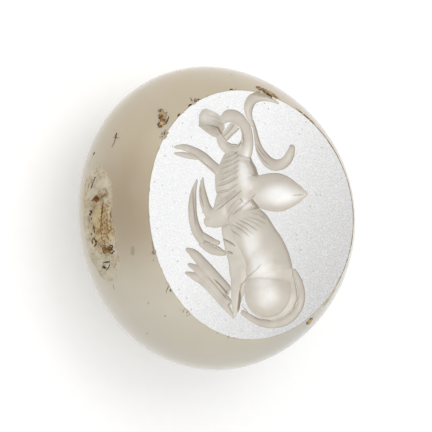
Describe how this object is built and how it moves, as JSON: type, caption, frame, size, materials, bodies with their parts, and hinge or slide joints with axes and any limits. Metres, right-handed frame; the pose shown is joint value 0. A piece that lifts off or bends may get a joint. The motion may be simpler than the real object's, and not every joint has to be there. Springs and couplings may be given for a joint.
{
  "type": "stamp seal",
  "caption": "Small round stone stamp seal with a domed back, a string hole through its flanks and a flat face engraved with a lying humped bull.",
  "frame": {"origin": "centre of the worn flat on the dome's crown, where the seal rests", "axes": "+Z is the way the engraved face looks; the string hole runs along X; +Y is up in the engraved picture"},
  "size_m": [0.0236, 0.024, 0.0132],
  "materials": {
    "stone": "polished back, frosted face",
    "crust": "rough, earthy",
    "earth": "rough, pale, packed"
  },
  "bodies": {
    "root": {"seal_stone": "stone", "string_hole_fill": "earth", "shoulder_pit_crust": "crust", "lower_rim_crust": "crust", "upper_rim_crust": "crust", "left_rim_crust": "crust", "mouth_upper_crust": "crust", "mouth_lower_crust": "crust"}
  },
  "joints": []
}
